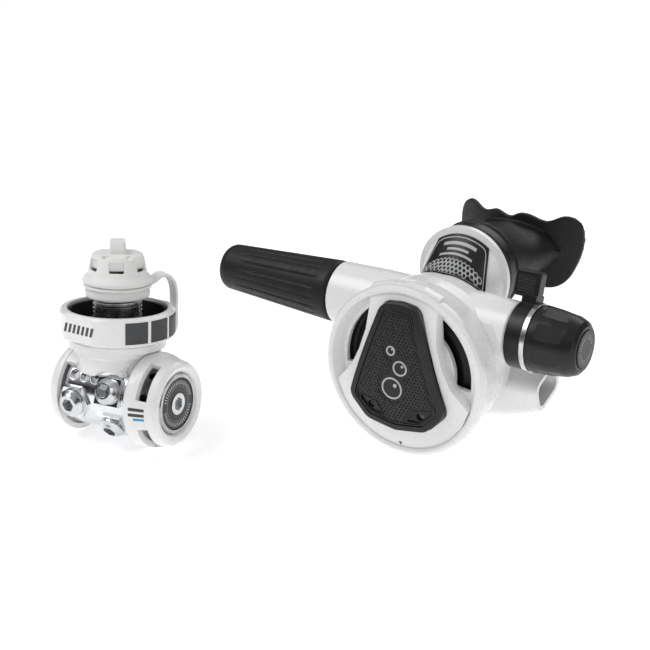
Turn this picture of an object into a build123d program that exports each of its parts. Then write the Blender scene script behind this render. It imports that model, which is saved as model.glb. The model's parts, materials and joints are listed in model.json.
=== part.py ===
from build123d import *
import os
from math import cos, radians, sin

# Scuba regulator set: a DIN diaphragm first stage and a downstream second stage, in millimetres.
# Each stage is drawn in a frame of its own and then stood on the floor of the shared frame.
# First stage: x runs along the barrel to the label end, z up the DIN connector.
# Second stage: x runs along the valve barrel to the knob, y from the cover back to the mouthpiece.

# --- driving dimensions: first stage -------------------------------------------------
din_thread_r = 11.45
wheel_r = 26.8
wheel_z = (28.0, 41.2)
thread_top_z = 58.0
cap_skirt_z = 46.4
cap_flange_z = (53.2, 55.8)
cap_crown_z = 67.0
cap_top_z = 72.6
cap_bore_r = 12.35
cap_flange_r = 16.4
cap_crown_r = 12.4
barrel_r = 17.5
left_end_x = -26.5
right_end_x = 35.6
end_cap_r = 22.6
label_r = 12.3
strap_angle = 60.0
strap_width = 8.6
strap_thick = 1.9

# --- driving dimensions: second stage ------------------------------------------------
cover_r = 41.3
seam_r = 38.5
seam_y = 16.0
chamber_r = 34.0
spigot_r = 36.6
case_back_y = 45.0
barrel_y = 29.0
barrel_z = 18.0
housing_r = 15.1
housing_left_x = -53.4
housing_right_x = 42.0
sleeve_left_x = -120.5
knob_end_x = 75.5
neck_y = 55.4
neck_z = 30.3
neck_r = 23.7
mouthpiece_r = 22.0
flange_half_width = 34.0
flange_centre_y = 104.0
window_gap = 0.4
exhaust_z = -13.4
lever_pivot = (23.4, 16.4)

# --- places ---------------------------------------------------------------------------
floor_z = -41.4
first_stage_at = (-122.3, -58.5, -19.2)
first_stage_turn = (-7.75, -2.85, 4.02)

X_AXIS = Axis.X
Y_AXIS = Axis.Y
Z_AXIS = Axis.Z
FIRST = Location(first_stage_at, first_stage_turn)


# --- shapes used again and again --------------------------------------------------------
def lathe(axis, points):
    """Turn a closed outline of (along, radius) points about an axis."""
    if axis is X_AXIS:
        corners = [(along, radius, 0) for along, radius in points]
    elif axis is Y_AXIS:
        corners = [(radius, along, 0) for along, radius in points]
    else:
        corners = [(radius, 0, along) for along, radius in points]
    return revolve(make_face(Polyline(*corners, close=True)), axis, 360)


def rod(axis, start, end, radius, centre=(0, 0)):
    """A round bar along an axis; centre is its place across the axis."""
    length = end - start
    if axis is X_AXIS:
        place = Location((start, centre[0], centre[1]), (0, 90, 0))
    elif axis is Y_AXIS:
        place = Location((centre[0], start, centre[1]), (-90, 0, 0))
    else:
        place = Location((centre[0], centre[1], start))
    return place * Cylinder(radius, length, align=(Align.CENTER, Align.CENTER, Align.MIN))


def tube(axis, start, end, outer, inner, centre=(0, 0)):
    return rod(axis, start, end, outer, centre) - rod(axis, start - 1, end + 1, inner, centre)


def block(low, high):
    """A box between two corners."""
    size = [b - a for a, b in zip(low, high)]
    middle = [(a + b) / 2 for a, b in zip(low, high)]
    return Location(middle) * Box(*size)


def about(axis, angle):
    """A turn about one axis through the origin."""
    if axis is X_AXIS:
        return Location((0, 0, 0), (angle, 0, 0))
    if axis is Y_AXIS:
        return Location((0, 0, 0), (0, angle, 0))
    return Location((0, 0, 0), (0, 0, angle))


def on_barrel(angle):
    """Turns +z into a direction round the first stage's barrel, 0 at the front, 90 at the top."""
    return about(X_AXIS, 90 - angle)


def fused(shapes):
    """Several solids as one node."""
    return Compound(children=list(shapes))


def largest(shape):
    """The one real solid, without the scraps that trimming leaves."""
    return max(shape.solids(), key=lambda solid: solid.volume)


def front_face(outline):
    """A face in the x-z plane at y = 0, from an outline of (x, z) points."""
    return make_face(Polyline(*[(x, 0, z) for x, z in outline], close=True))


def along_y(face, start, end):
    """A face of the x-z plane made solid from y = start to y = end."""
    return extrude(Pos(0, start, 0) * face, amount=end - start, dir=(0, 1, 0))


def mirrored(points):
    """A right half, listed from top to bottom, closed by its mirror image."""
    return points + [(-x, z) for x, z in reversed(points) if x > 0.001]


def spring(axis, start, end, radius, wire, turns, centre=(0, 0)):
    """A helical compression spring along an axis."""
    length = end - start - 2 * wire
    path = Helix(pitch=length / turns, height=length, radius=radius)
    section = Plane(path @ 0, z_dir=path % 0) * Circle(wire)
    coil = Pos(0, 0, wire) * sweep(section, path, is_frenet=True)
    if axis is X_AXIS:
        return Location((start, centre[0], centre[1]), (0, 90, 0)) * coil
    return Location((centre[0], start, centre[1]), (-90, 0, 0)) * coil


def hex_prism(axis, start, end, flats):
    """A hexagonal bar along an axis."""
    bar = extrude(RegularPolygon(flats / 2, 6, major_radius=False), amount=end - start)
    if axis is X_AXIS:
        return Location((start, 0, 0), (0, 90, 0)) * bar
    return Pos(0, 0, start) * bar


# ======================================================================================
# First stage
# ======================================================================================
low_plug_places = [(7.4, 17.0), (8.0, -40.0), (7.4, 163.0), (8.0, 215.0)]
high_plug_places = [(-12.0, -9.0), (-12.0, 189.0)]
plug_seat_r = 19.0
slot_middles = (40.0, 130.0, 220.0, 310.0)


def port_boss(x, angle, high):
    """The flat-topped boss that one port is cut in."""
    if high:
        boss = hex_prism(Z_AXIS, 8.0, plug_seat_r, 15.0)
    else:
        boss = block((-6.6, -6.6, 8.0), (6.6, 6.6, plug_seat_r - 0.6))
    return Pos(x, 0, 0) * (on_barrel(angle) * boss)


def port_hole(x, angle, high):
    radius = 5.6 if high else 4.8
    seat = plug_seat_r if high else plug_seat_r - 0.6
    hole = rod(Z_AXIS, seat - 4.4, seat + 6.0, radius)
    passage = rod(Z_AXIS, 5.0, seat - 4.0, 1.2)
    offset = 0.0 if high else -3.3
    return Pos(x, 0, 0) * (on_barrel(angle) * hole) + Pos(x + offset, 0, 0) * (on_barrel(angle) * passage)


def first_stage_body():
    body = lathe(X_AXIS, [(-19.0, 0), (-19.0, 16.2), (-17.8, barrel_r), (16.0, barrel_r), (16.0, 0)])
    body += lathe(Z_AXIS, [(0, 0), (0, 15.5), (18.0, 15.5), (21.0, 14.0), (24.5, 14.0), (24.5, 0)])
    for x, angle in low_plug_places:
        body += port_boss(x, angle, False)
    for x, angle in high_plug_places:
        body += port_boss(x, angle, True)
    for x in (-13.5, -7.5, -1.5):
        body -= Pos(x, 0, 0) * (on_barrel(33.0) * rod(Z_AXIS, 15.6, 24.0, 2.7))
    body &= block((-19.0, -40.0, -40.0), (40.0, 40.0, 40.0))
    body -= rod(X_AXIS, -20.0, -3.0, 8.0)
    body -= rod(X_AXIS, -3.5, 6.0, 2.6)
    body -= rod(X_AXIS, 5.0, 17.0, 13.6)
    body -= rod(Z_AXIS, 2.0, 15.0, 2.5)
    body -= rod(Z_AXIS, 14.2, 25.0, 7.5)
    for x, angle in low_plug_places:
        body -= port_hole(x, angle, False)
    for x, angle in high_plug_places:
        body -= port_hole(x, angle, True)
    return body


def port_plug(x, angle, high):
    """A plug with a domed flange, a hexagon socket and its threaded shank."""
    seat = plug_seat_r if high else plug_seat_r - 0.6
    head = 6.8 if high else 6.1
    shank = 5.55 if high else 4.75
    outline = [(-4.2, 0), (-4.2, shank), (0, shank), (0, head), (1.5, head), (2.6, head - 1.3)]
    outline += [(3.6, head - 2.2), (3.6, 0)]
    plug = lathe(Z_AXIS, outline) - hex_prism(Z_AXIS, 0.4, 4.0, 5.6)
    plug -= tube(Z_AXIS, -1.4, 0.0, shank + 0.5, shank - 1.25)
    return Pos(x, 0, 0) * (on_barrel(angle) * (Pos(0, 0, seat) * plug))


def port_oring(x, angle, high):
    seat = plug_seat_r if high else plug_seat_r - 0.6
    shank = 5.55 if high else 4.75
    ring = tube(Z_AXIS, seat - 1.3, seat - 0.1, shank, shank - 1.2)
    return Pos(x, 0, 0) * (on_barrel(angle) * ring)


def body_shroud():
    """White shell over the top and back of the barrel, with the collar the handwheel stands on."""
    shell = tube(X_AXIS, -19.0, 15.0, 21.0, barrel_r + 0.02)
    sector = make_face(Polyline((0, 0, 0), (0, -30, 31), (0, -30, 60), (0, 60, 60), (0, 60, -6), close=True))
    shell &= extrude(Pos(-30, 0, 0) * sector, amount=60, dir=(1, 0, 0))
    for x, angle in low_plug_places + high_plug_places:
        shell -= Pos(x, 0, 0) * (on_barrel(angle) * rod(Z_AXIS, 8.0, 30.0, 10.4))
    neck = lathe(Z_AXIS, [(12.0, 0), (12.0, 19.0), (19.5, 19.0), (21.0, 20.6), (22.6, 20.6), (23.4, 22.9),
                          (26.6, 22.9), (27.4, 21.9), (27.4, 0)])
    shell += neck
    shell -= rod(X_AXIS, -30.0, 30.0, barrel_r + 0.02)
    shell -= rod(Z_AXIS, 0.0, 30.0, 15.52)
    for x, angle in low_plug_places + high_plug_places:
        shell -= Pos(x, 0, 0) * (on_barrel(angle) * rod(Z_AXIS, 8.0, 30.0, 9.0))
    shell -= rod(X_AXIS, 18.9, 40.0, end_cap_r + 0.1)
    shell -= rod(X_AXIS, -30.0, -18.95, 21.4)
    return largest(shell)


def left_cap():
    outline = [(left_end_x, 0), (left_end_x, 15.5), (-25.6, 18.3), (-23.6, 20.3), (-21.0, 21.2),
               (-19.05, 21.3), (-19.05, 18.6), (-21.6, 18.6), (-21.6, 0)]
    cap = lathe(X_AXIS, outline)
    return cap - rod(X_AXIS, -30.0, -25.4, 8.0)


def balance_plug():
    """The screwed plug behind the left cap that closes the high-pressure chamber."""
    plug = lathe(X_AXIS, [(-21.5, 0), (-21.5, 12.0), (-19.02, 12.0), (-19.02, 7.95), (-9.5, 7.95), (-9.5, 0)])
    plug -= rod(X_AXIS, -14.0, -8.0, 4.2)
    plug -= tube(X_AXIS, -17.0, -15.0, 8.5, 6.6)
    return plug - hex_prism(X_AXIS, -22.0, -18.6, 8.0)


def right_cap():
    """White end cap: a cone with four slots round it that let water reach the diaphragm."""
    cap = lathe(X_AXIS, [(19.0, 15.3), (19.0, end_cap_r - 1.0), (20.0, end_cap_r), (23.5, end_cap_r),
                         (34.0, 19.9), (right_end_x - 0.4, 18.9), (right_end_x, 17.6), (34.9, 15.6),
                         (33.6, 14.6), (31.0, 14.55), (31.0, 18.0), (22.5, 19.8), (22.5, 15.3)])
    for middle in slot_middles:
        for step in range(5):
            angle = middle + (step - 2) * 10.0
            cap -= Pos(28.4, 0, 0) * (on_barrel(angle) * block((-2.6, -2.1, 16.4), (2.6, 2.1, 26.0)))
    return cap


def spring_retainer():
    """Chromed retainer screwed into the barrel: it clamps the diaphragm and carries the cap."""
    ring = lathe(X_AXIS, [(9.2, 9.5), (9.2, 13.55), (16.05, 13.55), (16.05, barrel_r), (18.95, barrel_r),
                          (18.95, 15.25), (30.9, 15.25), (30.9, 14.5), (33.8, 14.5), (34.6, 13.9),
                          (34.6, 12.4), (32.6, 12.4), (32.6, 9.5)])
    for step in range(8):
        hole = rod(Z_AXIS, 8.0, 20.0, 2.0)
        ring -= Pos(25.5, 0, 0) * (on_barrel(step * 45.0 + 17.5) * hole)
    return ring


def label_disc():
    return lathe(X_AXIS, [(32.7, 5.15), (32.7, label_r), (34.0, label_r), (34.4, label_r - 0.5), (34.4, 5.15)])


def pressure_screw():
    """Intermediate-pressure screw: a hexagon socket in front, the main spring's seat behind."""
    screw = lathe(X_AXIS, [(28.6, 0), (28.6, 9.42), (32.2, 9.42), (32.2, 5.1), (34.9, 5.1), (34.9, 0)])
    return screw - hex_prism(X_AXIS, 31.4, 36.0, 5.6)


def main_spring():
    return spring(X_AXIS, 12.1, 28.4, 7.0, 1.2, 4)


def spring_pad():
    return lathe(X_AXIS, [(8.6, 0), (8.6, 8.0), (10.0, 8.8), (11.9, 8.8), (11.9, 5.0), (10.4, 5.0), (10.4, 0)])


def main_diaphragm():
    return lathe(X_AXIS, [(7.4, 0), (7.4, 13.5), (9.1, 13.5), (9.1, 9.3), (8.4, 9.3), (8.4, 0)])


def push_pin():
    return lathe(X_AXIS, [(-2.6, 0), (-2.6, 1.2), (6.1, 1.2), (6.1, 4.0), (7.1, 4.0), (7.1, 0)])


def valve_crown():
    """The crown the high-pressure poppet closes on."""
    return lathe(X_AXIS, [(-3.2, 2.0), (-4.6, 2.0), (-4.6, 3.0), (-3.8, 3.4), (-3.8, 7.95), (-3.02, 7.95),
                          (-3.02, 2.0)])


def first_stage_poppet():
    return lathe(X_AXIS, [(-12.8, 0), (-12.8, 2.0), (-8.0, 2.0), (-8.0, 5.4), (-4.8, 5.4), (-4.8, 1.0),
                          (-2.7, 1.0), (-2.7, 0)])


def poppet_return_spring():
    return spring(X_AXIS, -13.9, -8.2, 3.1, 0.4, 4)


def din_stem():
    """The hollow bolt that holds the connector to the body and carries the filter."""
    stem = lathe(Z_AXIS, [(14.4, 0), (14.4, 7.45), (24.6, 7.45), (24.6, 12.8), (27.6, 12.8), (27.6, 8.0),
                          (52.5, 8.0), (52.5, 6.0), (48.0, 6.0), (48.0, 0)])
    stem -= rod(Z_AXIS, 13.0, 46.0, 3.0)
    return stem - rod(Z_AXIS, 45.0, 49.0, 4.6)


def inlet_filter():
    return lathe(Z_AXIS, [(48.1, 0), (48.1, 5.9), (49.0, 5.9), (53.6, 3.6), (53.6, 0)])


def din_retainer():
    """Male G5/8 connector that turns on the stem."""
    outline = [(28.0, 8.06), (28.0, 13.4), (31.5, 13.4), (31.5, din_thread_r), (57.0, din_thread_r),
               (thread_top_z, din_thread_r - 1.0), (thread_top_z, 9.2), (53.2, 9.2), (53.2, 8.06)]
    return lathe(Z_AXIS, outline)


def din_oring():
    return tube(Z_AXIS, 55.0, thread_top_z + 0.5, 9.15, 6.9)


def wheel_outline(radius, flat_depth):
    """A circle flattened a little on two opposite sides."""
    disc = Circle(radius)
    flat = Rectangle(90.0, 2 * (radius - flat_depth))
    return disc & (Rot(0, 0, -7.0) * flat)


def handwheel():
    low, high = wheel_z
    ring = extrude(Pos(0, 0, low) * wheel_outline(wheel_r, 1.4), amount=high - low)
    ring = chamfer(ring.edges().group_by(Z_AXIS)[-1], 1.1)
    ring = chamfer(ring.edges().group_by(Z_AXIS)[0], 0.8)
    ring -= rod(Z_AXIS, low + 2.6, high + 1.0, 23.4)
    ring -= rod(Z_AXIS, low - 1.0, low + 3.0, 22.0)
    for side in (0, 180):
        for place in (-27.0, 0.0, 27.0):
            ring -= about(Z_AXIS, side - 7.0 + place) * grip_block(0.05)
    return ring


def grip_block(play):
    """One rubber grip: a curved tile let into the rim."""
    low, high = wheel_z
    tile = tube(Z_AXIS, low + 1.6 - play, high - 1.6 + play, wheel_r + 0.25, wheel_r - 1.8 - play)
    half = 5.4 + play
    return tile & block((10.0, -half, low), (40.0, half, high))


def handwheel_grips():
    tiles = []
    for side in (0, 180):
        for place in (-27.0, 0.0, 27.0):
            tiles.append(about(Z_AXIS, side - 7.0 + place) * grip_block(0.0))
    return fused(tiles)


def handwheel_hub():
    """Black dished core between the rim and the threaded connector."""
    low, high = wheel_z
    return lathe(Z_AXIS, [(low, 13.45), (low, 21.95), (low + 2.65, 21.95), (low + 2.65, 23.35),
                          (high - 1.4, 23.35), (high - 1.4, 22.0), (low + 4.6, 20.6), (low + 3.4, 13.45)])


def dust_cap():
    """Push-on cap: a skirt over the thread, a flange, a ribbed crown and a square grip on top."""
    outline = [(cap_skirt_z, cap_bore_r), (cap_skirt_z, 14.3), (47.2, 15.0), (50.2, 15.0), (51.0, 14.3),
               (52.4, 14.3), (cap_flange_z[0], cap_flange_r - 0.4), (54.5, cap_flange_r),
               (cap_flange_z[1], cap_flange_r - 0.8), (57.6, 13.8), (64.6, cap_crown_r),
               (66.2, cap_crown_r - 0.6), (cap_crown_z, cap_crown_r - 1.9), (cap_crown_z, 0), (54.4, 0),
               (54.4, 6.5), (60.0, 6.5), (60.0, cap_bore_r - 1.2), (59.0, cap_bore_r)]
    cap = lathe(Z_AXIS, outline)
    for step in range(6):
        cut = block((cap_crown_r - 1.5, -3.4, 59.4), (20.0, 3.4, cap_crown_z - 2.2))
        cap -= about(Z_AXIS, step * 60.0 - 55.0) * cut
    for step in range(6):
        notch = block((cap_crown_r - 3.2, -1.3, cap_crown_z - 1.6), (20.0, 1.3, cap_crown_z + 1.0))
        cap -= about(Z_AXIS, step * 60.0 - 25.0) * notch
    grip = extrude(Pos(0, 0, cap_crown_z - 1.0) * RectangleRounded(13.0, 8.4, 1.6),
                   amount=cap_top_z - cap_crown_z + 1.0, taper=7.0)
    return cap + about(Z_AXIS, -55.0) * grip


def strap_path():
    """Mid-line of the strap as (radius, height) from the cap down to the collar."""
    return [(17.6, 52.4), (21.0, 55.0), (25.0, 54.2), (27.9, 50.4), (28.9, 45.0), (28.9, 31.0),
            (27.6, 26.9), (24.6, 25.0)]


def strap():
    """Flat strap that keeps the cap with the first stage, and its ring round the collar."""
    points = strap_path()
    line = Spline(*[(r, 0, z) for r, z in points])
    section = Plane(line @ 0, x_dir=(0, 1, 0), z_dir=line % 0) * Rectangle(strap_width, strap_thick)
    band = sweep(section, line)
    return about(Z_AXIS, strap_angle) * band


# ======================================================================================
# Second stage
# ======================================================================================
panel_half = [(0, 42.6), (9.0, 41.7), (17.9, 38.9), (17.4, 30.0), (18.4, 18.0), (21.6, 7.6), (26.0, -1.6),
              (34.6, -11.6), (31.4, -20.2), (25.4, -27.8), (17.0, -34.0), (8.6, -37.3), (0, -38.3)]
button_corner_r = 6.0
button_half = [(0, 34.2), (9.4, 33.2), (25.2, -14.4), (15.5, -24.6), (0, -27.0)]
panel_front_y = -6.4
dome_r = 150.0


def button_outline(grow):
    """The rounded triangle of the purge button, grown outwards on every side."""
    face = front_face(mirrored(button_half))
    face = fillet(face.vertices(), button_corner_r)
    return offset(face, amount=grow) if grow else face


def dome(front):
    """A shallow ball that gives front covers their curve."""
    return Pos(0, front + dome_r, 0) * Sphere(dome_r)


def panel_solid(grow):
    face = front_face(mirrored(panel_half))
    if grow:
        face = offset(face, amount=grow)
    return along_y(face, panel_front_y - 2.0, 3.0) & dome(panel_front_y - grow)


def cover_ring():
    """Screw-on front cover: the rim, the sunk floor behind the panel and its water openings."""
    ring = lathe(Y_AXIS, [(seam_y, seam_r), (12.0, 39.3), (2.0, cover_r), (-0.6, cover_r), (-2.2, 40.4),
                          (-2.8, 39.0), (-2.4, 37.8), (3.0, 34.6), (3.0, 0), (5.4, 0), (5.4, spigot_r + 0.05),
                          (seam_y, spigot_r + 0.05)])
    ring -= panel_solid(0.12)
    ring -= rod(Y_AXIS, 2.0, 6.0, 5.6)
    slot = side_slot()
    ring -= slot + mirror(slot, Plane.YZ)
    for step in range(6):
        angle = radians(step * 60.0 + 30.0)
        ring -= rod(Y_AXIS, 2.0, 6.0, 3.4, (14.5 * cos(angle), 14.5 * sin(angle)))
    return ring


def side_slot():
    """A long curved opening beside the panel, following the rim; the right-hand one."""
    ring = tube(Y_AXIS, 1.0, 7.0, 33.0, 24.6)
    wedge = make_face(Polyline((0, 0, 0), (60.0, 0, -7.5), (60.0, 0, 60.0), (26.0, 0, 60.0), close=True))
    return ring & along_y(wedge, 0.0, 8.0)


def front_panel():
    panel = panel_solid(0.0)
    window = along_y(button_outline(window_gap), -20.0, 10.0)
    return panel - window


def purge_button():
    """The rim, back plate and stem of the purge button; its face carries the textured pad."""
    button = along_y(button_outline(0.0), -12.0, -4.6) & dome(-9.8)
    button -= along_y(button_outline(-2.6), -12.0, 0.0) - dome(-8.7)
    button += tube(Y_AXIS, -4.8, 8.6, 5.0, 3.4)
    for side in (-1, 1):
        button -= rod(Y_AXIS, -12.0, 0.0, 2.0, (side * 13.0, -17.2))
    return button


def purge_pad():
    """Textured face of the button, with a five-sided vent in each lower corner."""
    pad = (along_y(button_outline(-2.65), -9.5, 0.0) & dome(-9.2)) - dome(-8.72)
    vent = along_y(front_face([(6.0, -21.0), (9.6, -14.8), (18.6, -12.8), (18.4, -15.8), (12.4, -20.6)]),
                   -12.0, 0.0)
    return pad - vent - mirror(vent, Plane.YZ)


def purge_spring():
    return spring(Y_AXIS, -4.5, 2.95, 6.4, 0.4, 4)


def diaphragm():
    """Silicone disc with a rolled ring near its rim and a thick edge that the case clamps."""
    outline = [(9.4, 0), (9.4, 22.0), (7.9, 24.0), (7.0, 27.0), (7.9, 30.0), (8.6, 31.5), (8.0, 32.4),
               (8.0, 36.3), (10.0, 36.3), (10.0, 31.8), (8.9, 30.4), (7.9, 27.0), (8.9, 24.4),
               (10.4, 22.4), (10.4, 0)]
    return lathe(Y_AXIS, outline)


def diaphragm_ring():
    return tube(Y_AXIS, 5.5, 7.95, 36.3, 33.4)


def diaphragm_disc():
    return rod(Y_AXIS, 10.45, 11.3, 17.5)


def neck_loft(grow):
    """The neck from the case back to the mouthpiece, with its sections grown outwards."""
    sections = []
    for y, z, half_wide, half_high in ((30.0, 10.0, 19.0, 22.0), (42.0, 17.6, 19.6, 22.2),
                                       (neck_y, neck_z, neck_r - 0.7, neck_r - 0.7)):
        plane = Plane(origin=(0, y, z), x_dir=(1, 0, 0), z_dir=(0, 1, 0))
        sections.append(plane * Ellipse(half_wide + grow, half_high + grow))
    return loft(sections)


def housing_barrel(grow):
    """The outer barrel across the case; the left end is straight, the right end tapers out."""
    outline = [(housing_left_x, 0), (housing_left_x, housing_r - 1.2), (-52.4, housing_r),
               (-30.0, housing_r + 0.6), (20.0, housing_r), (housing_right_x - 1.0, housing_r - 0.6),
               (housing_right_x, housing_r - 1.2), (housing_right_x, 0)]
    outline = [(x, radius + grow if radius else 0) for x, radius in outline]
    return Pos(0, barrel_y, barrel_z) * lathe(X_AXIS, outline)


def case_drum(grow):
    """The round chamber's outside, closed."""
    outline = [(seam_y + 0.05, 0), (seam_y + 0.05, seam_r + grow), (24.0, 38.2 + grow), (34.0, 36.6 + grow),
               (40.0, 33.6 + grow), (43.6 + grow, 29.4 + grow), (case_back_y + grow, 25.0),
               (case_back_y + grow, 0)]
    return lathe(Y_AXIS, outline)


def case():
    """Second-stage case: round chamber, valve housing across it, neck and mouthpiece spigot."""
    centre = (barrel_y, barrel_z)
    shell = case_drum(0.0)
    shell += housing_barrel(0.0)
    shell += neck_loft(0.0)
    shell += rod(Y_AXIS, neck_y - 2.6, neck_y, neck_r, (0, neck_z))
    shell += rod(Y_AXIS, neck_y - 4.0, 67.5, 19.0, (0, neck_z))
    shell -= rod(Y_AXIS, 0.0, seam_y + 0.05, cover_r + 2.0)
    shell += tube(Y_AXIS, 10.05, seam_y + 1.0, spigot_r, chamber_r)
    shell -= lathe(Y_AXIS, [(10.0, 0), (10.0, chamber_r), (28.0, chamber_r), (37.0, 31.6),
                            (42.3, 24.0), (42.3, 0)])
    shell -= neck_loft(-3.0)
    shell -= rod(Y_AXIS, neck_y - 4.0, 70.0, 17.2, (0, neck_z))
    shell += tube(X_AXIS, -46.0, -33.5, 12.6, 7.55, centre)
    shell += tube(X_AXIS, 32.5, 41.0, 12.6, 9.9, centre)
    shell -= rod(X_AXIS, -55.0, -46.0, 12.0, centre)
    shell -= rod(X_AXIS, -46.5, -20.0, 7.55, centre)
    shell -= rod(X_AXIS, 9.5, 43.0, 9.9, centre)
    shell -= rod(Y_AXIS, 41.0, 50.0, 2.0, (0, exhaust_z))
    for step in range(6):
        angle = radians(step * 60.0)
        place = (7.6 * cos(angle), exhaust_z + 7.6 * sin(angle))
        shell -= rod(Y_AXIS, 41.0, 50.0, 2.7, place)
    return largest(shell)


def exhaust_valve():
    """Soft mushroom valve over the exhaust holes, held by its stem."""
    valve = lathe(Y_AXIS, [(case_back_y + 0.35, 0), (case_back_y + 0.35, 11.4), (46.1, 11.4), (46.9, 2.0),
                           (46.9, 0)])
    valve += rod(Y_AXIS, 40.4, 46.0, 1.6)
    valve += lathe(Y_AXIS, [(39.0, 0), (40.2, 2.5), (40.7, 2.5), (40.7, 0)])
    return Pos(0, 0, exhaust_z) * valve


def tee_section(x, y, z, deep, high, lean):
    """A rounded section of the exhaust duct; lean raises its back edge."""
    plane = Plane(origin=(x, y, z), x_dir=(0, cos(radians(lean)), sin(radians(lean))), z_dir=(1, 0, 0))
    return plane * RectangleRounded(deep, high, 0.3 * min(deep, high))


def tee_loft(thin):
    """The exhaust duct from its middle out to the right-hand outlet."""
    sections = [tee_section(0.0, 48.0, -17.6, 16.0 - thin, 34.0 - thin, 0.0),
                tee_section(24.0, 47.2, -19.2, 19.0 - thin, 26.0 - thin, 8.0),
                tee_section(50.0, 47.0, -13.4, 22.0 - thin, 16.5 - thin, 20.0)]
    return loft(sections)


def exhaust_tee():
    right = tee_loft(0.0)
    hollow = tee_loft(4.0)
    tee = right + mirror(right, Plane.YZ)
    tee -= hollow + mirror(hollow, Plane.YZ)
    for side in (-1, 1):
        mouth = tee_section(side * 50.0, 47.0, -13.4, 18.0, 12.5, 20.0)
        tee -= extrude(mouth, amount=3.0, both=True)
    outside = lathe(Y_AXIS, [(0.0, 0), (0.0, cover_r + 0.6), (seam_y, cover_r), (24.0, 38.3), (34.0, 36.7),
                             (40.0, 33.7), (43.7, 29.5), (case_back_y + 0.05, 25.0), (case_back_y + 0.05, 0)])
    tee -= outside
    tee -= housing_barrel(0.1)
    tee -= rod(Y_AXIS, 40.0, 49.0, 13.0, (0, exhaust_z))
    return tee - neck_loft(0.1)


def valve_barrel():
    """Metal valve tube across the case, with the slot that the demand lever works in."""
    centre = (barrel_y, barrel_z)
    barrel = tube(X_AXIS, -47.0, 41.6, 7.5, 5.6, centre)
    barrel -= block((-7.6, 20.0, 13.2), (7.6, 27.2, 22.8))
    barrel -= rod(Y_AXIS, 33.0, 38.0, 3.4, (13.0, barrel_z))
    return barrel


def inlet_fitting():
    """Threaded 9/16-18 inlet that the hose nut screws onto."""
    centre = (barrel_y, barrel_z)
    fitting = rod(X_AXIS, -61.0, -47.05, 7.14, centre) + rod(X_AXIS, -49.4, -47.05, 9.6, centre)
    return fitting - rod(X_AXIS, -62.0, -46.0, 3.0, centre)


def inlet_orifice():
    centre = (barrel_y, barrel_z)
    orifice = rod(X_AXIS, -46.9, -28.6, 5.55, centre) + rod(X_AXIS, -28.6, -27.2, 3.0, centre)
    orifice -= rod(X_AXIS, -48.0, -26.0, 2.0, centre)
    return orifice - tube(X_AXIS, -43.0, -41.0, 6.0, 4.4, centre)


def poppet():
    """Seat holder: it lifts off the orifice towards the knob when the lever swings."""
    centre = (barrel_y, barrel_z)
    stem = rod(X_AXIS, -26.8, -20.0, 4.9, centre) + rod(X_AXIS, -20.0, 12.0, 2.9, centre)
    stem += rod(X_AXIS, 8.8, 12.0, 4.9, centre)
    return stem - rod(X_AXIS, 4.0, 13.0, 1.6, centre)


def poppet_seat():
    centre = (barrel_y, barrel_z)
    return rod(X_AXIS, -27.1, -26.85, 4.2, centre)


def poppet_spring():
    return spring(X_AXIS, 12.3, 29.4, 3.9, 0.5, 6, (barrel_y, barrel_z))


def adjusting_screw():
    """Spring carrier that the knob winds in and out."""
    centre = (barrel_y, barrel_z)
    screw = rod(X_AXIS, 29.6, 56.0, 5.52, centre) + rod(X_AXIS, 56.0, 60.0, 3.6, centre)
    return screw - tube(X_AXIS, 36.0, 38.0, 6.0, 4.3, centre)


def knob():
    """Tapered hand knob with shallow scallops round it."""
    outline = [(52.6, 5.6), (52.6, 15.2), (54.0, 15.5), (62.0, 15.0), (70.0, 13.8), (73.4, 12.4),
               (75.0, 10.4), (75.0, 8.9), (knob_end_x - 1.4, 8.9), (knob_end_x - 1.4, 0), (60.05, 0),
               (60.05, 5.6)]
    body = lathe(X_AXIS, outline)
    for step in range(8):
        cut = Pos(63.2, 0, 24.3) * (about(Y_AXIS, 6.0) * Box(12.0, 7.4, 20.0))
        body -= about(X_AXIS, step * 45.0 + 10.0) * cut
    return Pos(0, barrel_y, barrel_z) * body


def knob_trim_ring():
    return tube(X_AXIS, 50.3, 52.55, 15.9, 8.2, (barrel_y, barrel_z))


def knob_end_disc():
    disc = lathe(X_AXIS, [(knob_end_x - 1.35, 0), (knob_end_x - 1.35, 8.85), (knob_end_x, 8.6),
                          (knob_end_x, 0)])
    return Pos(0, barrel_y, barrel_z) * disc


def lever_collar():
    """Venturi lever: a collar round the housing's end with a thumb tab on top."""
    centre = (barrel_y, barrel_z)
    collar = tube(X_AXIS, 42.4, 49.9, 15.3, 9.92, centre)
    foot = block((42.6, -4.4, 12.0), (49.7, 3.8, 18.6))
    plate = block((37.2, -3.6, 17.2), (49.7, 2.2, 29.4))
    plate = fillet(plate.edges().filter_by(Axis.Y), 2.0)
    plate = fillet(plate.edges().group_by(Axis.Y)[0], 0.8)
    tab = about(X_AXIS, -18.0) * (foot + plate)
    collar += Pos(0, barrel_y, barrel_z) * tab
    return collar - rod(X_AXIS, 42.0, 50.0, 9.92, centre)


def venturi_vane():
    """The sleeve that the collar turns, and the vane it swings across the airway."""
    centre = (barrel_y, barrel_z)
    sleeve = rod(X_AXIS, 10.0, 49.9, 9.87, centre)
    vane = block((1.0, barrel_y + 8.4, barrel_z - 1.2), (15.0, barrel_y + 12.4, barrel_z + 1.2))
    return sleeve + vane - rod(X_AXIS, 9.0, 51.0, 7.55, centre)


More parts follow.
